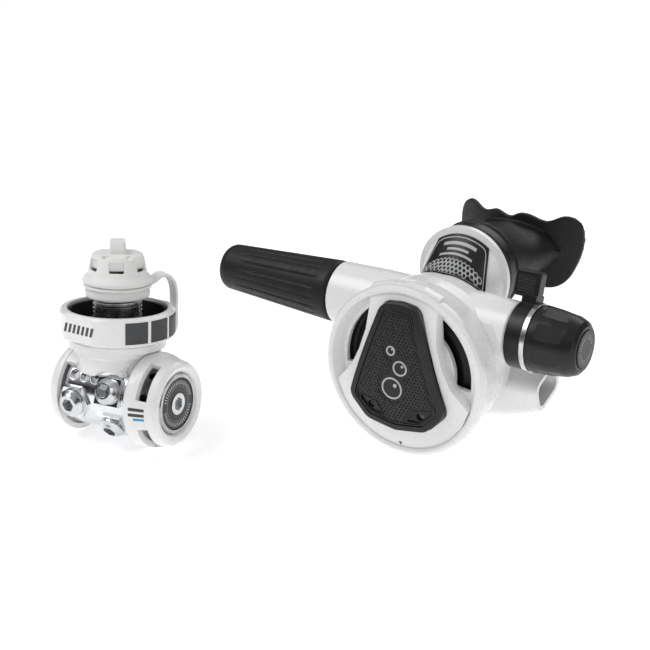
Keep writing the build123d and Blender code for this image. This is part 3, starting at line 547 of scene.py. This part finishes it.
def thread_ridge(start, end, steps):
    """One long ridge wound round the z axis, fading into the core at both ends."""
    total = int((end - start) / THREAD_PITCH * steps)
    points = []
    for step in range(total + 1):
        angle = tau * step / steps
        foot = THREAD_ROOT - THREAD_SINK
        crest = THREAD_ROOT + THREAD_DEPTH * min(1.0, step / steps, (total - step) / steps)
        for aside, radius in ((-THREAD_FOOT, foot), (-THREAD_CREST, crest), (THREAD_CREST, crest),
                              (THREAD_FOOT, foot)):
            up = start + THREAD_PITCH * step / steps + aside
            points.append((radius * cos(angle), radius * sin(angle), up))
    faces = loops_to_faces(total + 1, 4, False)
    return points, faces + [(0, 1, 2, 3), tuple(4 * total + corner for corner in (3, 2, 1, 0))]


def din_connector():
    """The connector with its real thread, in place of the CAD's plain cylinder."""
    outline = [(28.0, 8.06, 0), (28.0, 13.4, 0), (31.5, 13.4, 0), (31.5, THREAD_ROOT, 0),
               (57.6, THREAD_ROOT, 0), (58.0, THREAD_ROOT - 0.4, 0), (58.0, 9.2, 0), (53.2, 9.2, 0),
               (53.2, 8.06, 0)]
    core, core_faces = turned(outline, CORE_STEPS)
    points, faces = joined([(upright(core), core_faces), thread_ridge(*THREAD_SPAN, THREAD_STEPS)])
    piece = add_piece("din_thread", points, faces, FIRST, "thread_metal", "handwheel", 40.0)
    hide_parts("din_retainer")


STRAP_ANGLE = radians(60.0)             # which side of the connector the strap runs down
STRAP_HALF, STRAP_WAIST = 4.3, 0.5      # half its width, and how much narrower it is at the waist
STRAP_THICK, STRAP_RIB = 0.8, 0.16      # half its thickness, and how far its ribs stand up
STRAP_SECTION = 20                      # points round its cross-section
STRAP_LINE = [(14.9, 51.6), (17.6, 52.4), (20.6, 54.5), (24.0, 54.7), (27.0, 52.0), (28.5, 48.0),
              (28.9, 43.0), (28.9, 37.0), (28.9, 31.0), (28.2, 28.2), (26.4, 25.9), (24.6, 25.0)]


def spline_points(knots, per_span):
    """Points on a smooth curve through knots."""
    points = []
    for index in range(len(knots) - 1):
        p0, p1 = Vector(knots[max(index - 1, 0)]), Vector(knots[index])
        p2, p3 = Vector(knots[index + 1]), Vector(knots[min(index + 2, len(knots) - 1)])
        for step in range(per_span):
            t = step / per_span
            points.append(0.5 * (2 * p1 + (p2 - p0) * t + (2 * p0 - 5 * p1 + 4 * p2 - p3) * t * t
                                 + (3 * p1 - p0 - 3 * p2 + p3) * t ** 3))
    return points + [Vector(knots[-1])]


def cap_strap():
    """Moulded strap from a ring under the cap's flange down to the collar, ribbed along its edges."""
    line = spline_points(STRAP_LINE, 6)
    count = len(line)
    section = []
    for step in range(STRAP_SECTION):
        angle = tau * step / STRAP_SECTION
        wide = abs(cos(angle)) ** 0.35 * (1 if cos(angle) > 0 else -1)
        thick = abs(sin(angle)) ** 0.6 * (1 if sin(angle) > 0 else -1)
        section.append((wide, thick))
    points = []
    outward = Vector((cos(STRAP_ANGLE), sin(STRAP_ANGLE), 0.0))
    sideways = Vector((-sin(STRAP_ANGLE), cos(STRAP_ANGLE), 0.0))
    for index, here in enumerate(line):
        ahead, behind = line[min(index + 1, count - 1)], line[max(index - 1, 0)]
        slope = (ahead - behind).normalized()
        out = outward * -slope[1] + Vector((0, 0, slope[0]))
        middle = outward * here[0] + Vector((0, 0, here[1]))
        share = index / (count - 1)
        half = STRAP_HALF - STRAP_WAIST * exp(-((share - 0.55) / 0.3) ** 2)
        for wide, thick in section:
            ridge = STRAP_RIB * exp(-((abs(wide) - 0.82) / 0.1) ** 2)
            points.append(middle + sideways * wide * half + out * thick * (STRAP_THICK + ridge))
    faces = loops_to_faces(count, STRAP_SECTION, False)
    faces += [tuple(range(STRAP_SECTION)), tuple(range((count - 1) * STRAP_SECTION, count * STRAP_SECTION))]
    ring = turned([(50.95, 14.32, 0), (50.95, 15.5, 0), (51.3, 15.9, 0), (52.1, 15.9, 0), (52.4, 15.5, 0),
                   (52.4, 14.32, 0)], 72)
    points, faces = joined([(points, faces), (upright(ring[0]), ring[1])])
    piece = add_piece("cap_strap_moulded", points, faces, FIRST, "white_rubber", None, 60.0)
    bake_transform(piece)
    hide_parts("cap_strap")


WHEEL_FLAT = 25.4               # from the connector's axis to the wheel's flat
WHEEL_TURN = radians(-7.0)
WHEEL_MARKS_UP = 34.6
LABEL_FRONT = 34.4


def wheel_marks():
    """A row of plain slanted bars on each flat of the handwheel."""
    for side, name in ((1, "front"), (-1, "back")):
        out = Vector((sin(WHEEL_TURN), -cos(WHEEL_TURN), 0.0)) * side
        right = Vector((0, 0, 1)).cross(out)
        surface = flat_surface(out * WHEEL_FLAT + Vector((0, 0, WHEEL_MARKS_UP)), right, (0, 0, 1))
        bars = [[(place * 2.7 + u, v) for u, v in ((-1.3, -2.1), (0.2, -2.1), (1.3, 2.1), (-0.2, 2.1))]
                for place in range(-3, 4)]
        points, faces = joined([patch(surface, bar, 0.06) for bar in bars])
        add_piece(f"wheel_marks_{name}", points, faces, FIRST, "print_dark", "handwheel")


def label_marks():
    """Tick ring on the label disc, in place of lettering."""
    surface = flat_surface((LABEL_FRONT, 0, 0), (0, 1, 0), (0, 0, 1))
    ticks = ring_of_ticks((0, 0), 9.2, 10.9, 48, 0.42, skip=(0, 1, 23, 24, 25, 47))
    parts = [patch(surface, bar, 0.05) for bar in ticks]
    parts += [band(surface, circle((0, 0), 8.4, 60), 0.12, 0.05)]
    points, faces = joined(parts)
    add_piece("label_ticks", points, faces, FIRST, "print_pale", "first_stage")


def on_barrel_cap(u, v):
    """Ray towards the barrel's axis: u along the barrel, v in degrees up from the front."""
    angle = radians(v)
    out = Vector((0.0, -cos(angle), sin(angle)))
    return Vector((u, 0, 0)) + out * 40.0, -out, 18.0


def cap_marks():
    """Three plain bars on the right end cap, where the size mark stands on the real one."""
    surface = cast_surface("right_end_cap", FIRST, on_barrel_cap)
    dark = [(22.6, 30.2, -6.0, -2.2), (22.6, 30.2, 0.8, 4.6)]
    blue = [(25.0, 30.2, -11.2, -8.2)]
    for name, bars, finish in (("cap_marks_dark", dark, "print_dark"), ("cap_mark_blue", blue, "print_blue")):
        points, faces = joined([strip(surface, *bar, 0.06, 12, 4) for bar in bars])
        add_piece(name, points, faces, FIRST, finish, "first_stage")


# --- second stage ---------------------------------------------------------------------------------
BUTTON = mirrored([(0, 34.2), (9.4, 33.2), (25.2, -14.4), (15.5, -24.6), (0, -27.0)])
VENT = [(6.0, -21.0), (9.6, -14.8), (18.6, -12.8), (18.4, -15.8), (12.4, -20.6)]
BUBBLES = (((-1.0, -5.6), 5.7), ((3.0, 5.0), 4.0), ((-2.2, 12.4), 2.7))    # centres and radii
PAD_FRONT = -9.2
DOME_R = 150.0
GRIP_MARGIN, VENT_MARGIN, BUBBLE_MARGIN = 4.6, 1.3, 1.4     # what the grip's cells leave free


def pad_surface(u, v):
    """The purge pad's domed face; u to the knob, v up."""
    deep = PAD_FRONT + DOME_R - sqrt(DOME_R ** 2 - u * u - v * v)
    place = Vector((u, deep, v))
    return place, (place - Vector((0, PAD_FRONT + DOME_R, 0))).normalized()


def purge_face():
    """The button's grip: a fine mesh of cells, a raised border, framed vents and three plain rings."""
    vents = [VENT, [(-u, v) for u, v in VENT]]

    def keep(u, v):
        if inside(u, v, BUTTON) < GRIP_MARGIN or any(inside(u, v, vent) > -VENT_MARGIN for vent in vents):
            return False
        return all(hypot(u - centre[0], v - centre[1]) > radius + BUBBLE_MARGIN for centre, radius in BUBBLES)

    points, faces = honeycomb(pad_surface, keep, (-22.5, -24.5, 22.5, 31.5), 1.75, 0.62, 0.34, 0.05)
    add_piece("purge_grip", points, faces, SECOND, "black_plastic", "purge", 20.0)
    inner = inset(BUTTON, 3.7, 4.0)
    lines = [band(pad_surface, inner, 0.42, 0.5)]
    lines += [band(pad_surface, vent, 0.36, 0.45) for vent in vents]
    points, faces = joined(lines)
    add_piece("purge_border", points, faces, SECOND, "black_plastic", "purge", 20.0)
    parts = []
    for centre, radius in BUBBLES:
        parts.append(band(pad_surface, circle(centre, radius - 0.75), 0.8, 0.42))
        glint = circle((centre[0] + radius * 0.3, centre[1] + radius * 0.3), radius * 0.16, 16)
        parts.append(patch(pad_surface, glint, 0.42))
    points, faces = joined(parts)
    add_piece("purge_mark", points, faces, SECOND, "print_pale", "purge", 30.0)


def inset(outline, distance, reach_mm=2.4):
    """An outline moved inwards, its corners cut into short runs."""
    cut = []
    count = len(outline)
    for index in range(count):
        before, here, after = (Vector(outline[index - 1]), Vector(outline[index]),
                               Vector(outline[(index + 1) % count]))
        room_one, room_two = (before - here).length, (after - here).length
        reach = min(reach_mm, room_one * 0.4, room_two * 0.4)
        start = here + (before - here).normalized() * reach
        end = here + (after - here).normalized() * reach
        for step in range(5):
            t = step / 4.0
            cut.append((1 - t) ** 2 * start + 2 * t * (1 - t) * here + t * t * end)
    moved = []
    count = len(cut)
    for index in range(count):
        slope = (cut[(index + 1) % count] - cut[index - 1]).normalized()
        moved.append((cut[index][0] + slope[1] * -distance, cut[index][1] + slope[0] * distance))
    # The outline may run either way round, so the move is turned about when it went outwards.
    if inside(*moved[0], outline) < 0:
        moved = [(2 * a[0] - b[0], 2 * a[1] - b[1]) for a, b in zip(cut, moved)]
    return moved


BADGE = [(0, 32.9), (18.3, 39.4), (13.2, 52.2), (-13.2, 52.2), (-18.3, 39.4)]


def badge_ray(u, v):
    """Ray straight down on the neck: u to the knob, v back."""
    return Vector((u, v, 90.0)), Vector((0, 0, -1)), 52.0


def badge_face():
    """The neck's dark panel: an open mesh towards the cover, plain bars behind and a pale border."""
    surface = cast_surface("neck_badge", SECOND, badge_ray)

    def keep(u, v):
        return inside(u, v, BADGE) > 2.2 and v < 43.6

    points, faces = honeycomb(surface, keep, (-18.0, 33.0, 18.0, 52.0), 2.1, 0.92, 0.12, 0.06)
    add_piece("badge_mesh", points, faces, SECOND, "print_pale", "second_stage", 20.0)
    border = dense(inset(BADGE, 0.75), 1.2)
    points, faces = band(surface, border, 0.42, 0.14)
    add_piece("badge_border", points, faces, SECOND, "print_pale", "second_stage", 20.0)
    bars = [(-8.6, 8.6, 48.7, 49.9), (-5.6, 5.6, 46.6, 47.5), (-8.6, 8.6, 44.6, 45.5)]
    points, faces = joined([strip(surface, *bar, 0.08, 24, 2) for bar in bars])
    add_piece("badge_bars", points, faces, SECOND, "print_pale", "second_stage", 20.0)


SLEEVE_START, SLEEVE_END = -115.5, -57.0        # the tapered, grooved length
SLEEVE_THIN, SLEEVE_TAPER = 11.55, 3.4          # radius at its start, and what it gains
SLEEVE_STEPS = 40
GROOVES, GROOVE_DEPTH = 18, 0.55
GROOVE_STEPS = 14                               # points from one groove to the next


def hose_sleeve():
    """The rubber sleeve with its lengthwise grooves and soft rounded ends."""
    outline = [(-120.5, 6.2, 0), (-120.5, 8.2, 0), (-120.3, 9.1, 0), (-119.7, 10.0, 0), (-118.7, 10.8, 0),
               (-117.3, 11.4, 0)]
    length = SLEEVE_END - SLEEVE_START
    for index in range(SLEEVE_STEPS + 1):
        along = SLEEVE_START + length * index / SLEEVE_STEPS
        radius = SLEEVE_THIN + (along - SLEEVE_START) / length * SLEEVE_TAPER
        outline.append((along, radius, 1))
    outline += [(-56.0, 15.0, 0), (-55.2, 14.95, 0), (-54.5, 14.6, 0), (-54.0, 14.0, 0), (-54.0, 10.5, 0),
                (-66.6, 10.5, 0), (-66.6, 7.8, 0), (-91.0, 7.8, 0), (-91.0, 6.2, 0)]

    def groove(along, angle):
        phase = (angle * GROOVES / tau + 0.5) % 1.0 - 0.5
        across = phase * tau / GROOVES * 13.5
        fade = min(1.0, max(0.0, (along + 110.0) / 6.0)) * min(1.0, max(0.0, (-59.0 - along) / 4.0))
        return -GROOVE_DEPTH * fade * exp(-(across / 0.42) ** 2)

    points, faces = turned(outline, GROOVES * GROOVE_STEPS, groove)
    piece = add_piece("hose_sleeve_grooved", points, faces, BARREL, "black_rubber", "hose_sleeve",
                      50.0)
    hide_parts("hose_protector")


TAB_LEAN = radians(-18.0)
TAB_FRONT = (43.45, -3.6, 23.3)     # the middle of the thumb tab's face before it leans
KNOB_END = 75.5


def lever_texture():
    """Raised rim and dimples on the front of the venturi lever's thumb tab."""
    lean = Matrix.Rotation(TAB_LEAN, 4, "X")
    origin = lean @ Vector(TAB_FRONT)
    surface = flat_surface(origin, (1, 0, 0), lean.to_3x3() @ Vector((0, 0, 1)))
    points, faces = honeycomb(surface, lambda u, v: abs(u) < 4.4 and abs(v) < 4.2, (-4.3, -4.0, 4.4, 4.2),
                              1.2, 0.4, 0.24, 0.05)
    add_piece("lever_grip", points, faces, BARREL, "black_plastic", "venturi_lever", 20.0)
    rim = rounded_bar((0.0, 0.0), 5.4, 5.2, 1.8)
    points, faces = band(surface, rim, 0.3, 0.35)
    add_piece("lever_rim", points, faces, BARREL, "black_plastic", "venturi_lever", 20.0)


def knob_marks():
    """Tick ring on the knob's end, in place of lettering."""
    surface = flat_surface((KNOB_END, 0, 0), (0, 1, 0), (0, 0, 1))
    ticks = ring_of_ticks((0, 0), 5.0, 5.9, 28, 0.34, skip=(0, 7, 14, 21))
    parts = [patch(surface, bar, 0.04) for bar in ticks]
    parts.append(band(surface, circle((0, 0), 6.7, 60), 0.1, 0.04))
    points, faces = joined(parts)
    add_piece("knob_ticks", points, faces, BARREL, "print_pale", "adjusting_knob")


def cover_ray(u, v):
    """Ray straight back on the cover: u to the knob, v up."""
    return Vector((u, -60.0, v)), Vector((0, 1, 0)), 58.0


def cover_mark():
    """The small dark arrowhead at the foot of the cover that shows where it locks."""
    surface = cast_surface("front_panel", SECOND, cover_ray)
    arrow = [(-1.1, -35.0), (1.1, -35.0), (0.0, -36.9)]
    points, faces = patch(surface, arrow, 0.05)
    add_piece("cover_lock_mark", points, faces, SECOND, "print_dark", "second_stage")


NODE_FINISH = {row["node"]: row["material_slot"] for row in frame["record"]["subparts"]}
for node_name, slot_name in NODE_FINISH.items():
    node_mesh = frame["nodes"][node_name].data
    node_mesh.materials.clear()
    node_mesh.materials.append(FINISHES[slot_name])

din_connector()
cap_strap()
wheel_marks()
label_marks()
cap_marks()
purge_face()
badge_face()
hose_sleeve()
lever_texture()
knob_marks()
cover_mark()
squeezed("purge_spring")
squeezed("poppet_spring")
squeezed("poppet_return_spring")
squeezed("main_spring")
softened("mouthpiece", "mouthpiece_soft", "black_rubber", "second_stage", 0.45, 6)
softened("dust_cap", "dust_cap_soft", "white_rubber", "dust_cap", 0.3, 4)
softened("handwheel_grips", "handwheel_grips_soft", "grip_grey", "handwheel", 0.22, 4)


# --- floor, light and camera ----------------------------------------------------------------------
FLOOR_REACH_M = 12.0
WORLD_STRENGTH = 0.52
SKY = ((0.0, 0.55), (0.1, 0.06), (0.32, 0.05), (0.5, 0.75), (1.0, 1.0))    # height and grey


def floor():
    """A wide pale sheet just under the set."""
    mesh = bpy.data.meshes.new("floor")
    reach = FLOOR_REACH_M
    mesh.from_pydata([(-reach, -reach, 0), (reach, -reach, 0), (reach, reach, 0), (-reach, reach, 0)], [],
                     [(0, 1, 2, 3)])
    paper = Finish("floor_mat", Emission_Color=(1, 1, 1, 1), Emission_Strength=0.5, Specular_IOR_Level=0.0)
    shade = paper.mix(paper.spread(paper.noise(60.0), 0.0, 1.0), (0.9, 0.9, 0.9), (0.92, 0.92, 0.92))
    rough = paper.spread(paper.noise(20.0), 0.85, 0.95)
    mesh.materials.append(paper.done(shade, rough, paper.bump(paper.noise(1.0), 0.1, 0.01)))
    sheet = bpy.data.objects.new("floor", mesh)
    bpy.context.scene.collection.objects.link(sheet)


def softbox(name, place, target, size, power):
    """A rectangular lamp at place that faces target."""
    data = bpy.data.lights.new(name, "AREA")
    data.shape = "RECTANGLE"
    data.size, data.size_y = size
    data.energy = power
    lamp = bpy.data.objects.new(name, data)
    lamp.location = place
    lamp.rotation_euler = (target - Vector(place)).to_track_quat("-Z", "Y").to_euler()
    bpy.context.scene.collection.objects.link(lamp)


def studio():
    """Even white surroundings with a darker band near the horizon, which gives the chrome its contrast."""
    world = bpy.data.worlds.new("studio")
    bpy.context.scene.world = world
    world.use_nodes = True
    tree = world.node_tree
    tree.nodes.clear()
    where = tree.nodes.new("ShaderNodeTexCoord")
    split = tree.nodes.new("ShaderNodeSeparateXYZ")
    ramp = tree.nodes.new("ShaderNodeValToRGB")
    background = tree.nodes.new("ShaderNodeBackground")
    out = tree.nodes.new("ShaderNodeOutputWorld")
    tree.links.new(where.outputs["Generated"], split.inputs[0])
    tree.links.new(split.outputs["Z"], ramp.inputs["Fac"])
    tree.links.new(ramp.outputs["Color"], background.inputs["Color"])
    tree.links.new(background.outputs["Background"], out.inputs["Surface"])
    ramp.color_ramp.elements[0].position = SKY[0][0]
    ramp.color_ramp.elements[1].position = SKY[-1][0]
    for position, _ in SKY[1:-1]:
        ramp.color_ramp.elements.new(position)
    for element, (_, grey) in zip(ramp.color_ramp.elements, SKY):
        element.color = (grey, grey, grey, 1.0)
    background.inputs["Strength"].default_value = WORLD_STRENGTH
    centre = (cad_low + cad_high) / 2
    softbox("key", centre + Vector((-0.55, -0.45, 0.95)), centre, (0.7, 0.7), 6.0)
    softbox("fill", centre + Vector((0.9, -0.35, 0.5)), centre, (0.5, 0.9), 1.6)
    softbox("rim", centre + Vector((0.1, 0.9, 0.7)), centre, (1.0, 0.4), 2.6)


AZIMUTH, ELEVATION = radians(33.7), radians(22.2)
DISTANCE_M = 0.700
AIM_RIGHT_M, AIM_UP_M = -0.0362, 0.0208     # from the middle of the cover to the point looked at


def camera():
    """Looks at a point a little left of and above the middle of the cover."""
    right = Vector((cos(AZIMUTH), sin(AZIMUTH), 0.0))
    back = Vector((sin(AZIMUTH) * cos(ELEVATION), -cos(AZIMUTH) * cos(ELEVATION), sin(ELEVATION)))
    up = back.cross(right)
    target = SECOND.translation + right * AIM_RIGHT_M + up * AIM_UP_M
    data = bpy.data.cameras.new("camera")
    data.lens = 85.0
    data.sensor_width = 36.0
    data.clip_start, data.clip_end = 0.05, 40.0
    eye = bpy.data.objects.new("camera", data)
    eye.matrix_world = Matrix((right, up, back)).transposed().to_4x4()
    eye.location = target + back * DISTANCE_M
    bpy.context.scene.collection.objects.link(eye)
    bpy.context.scene.camera = eye


floor()
studio()
camera()
bpy.context.scene.view_settings.view_transform = "Standard"
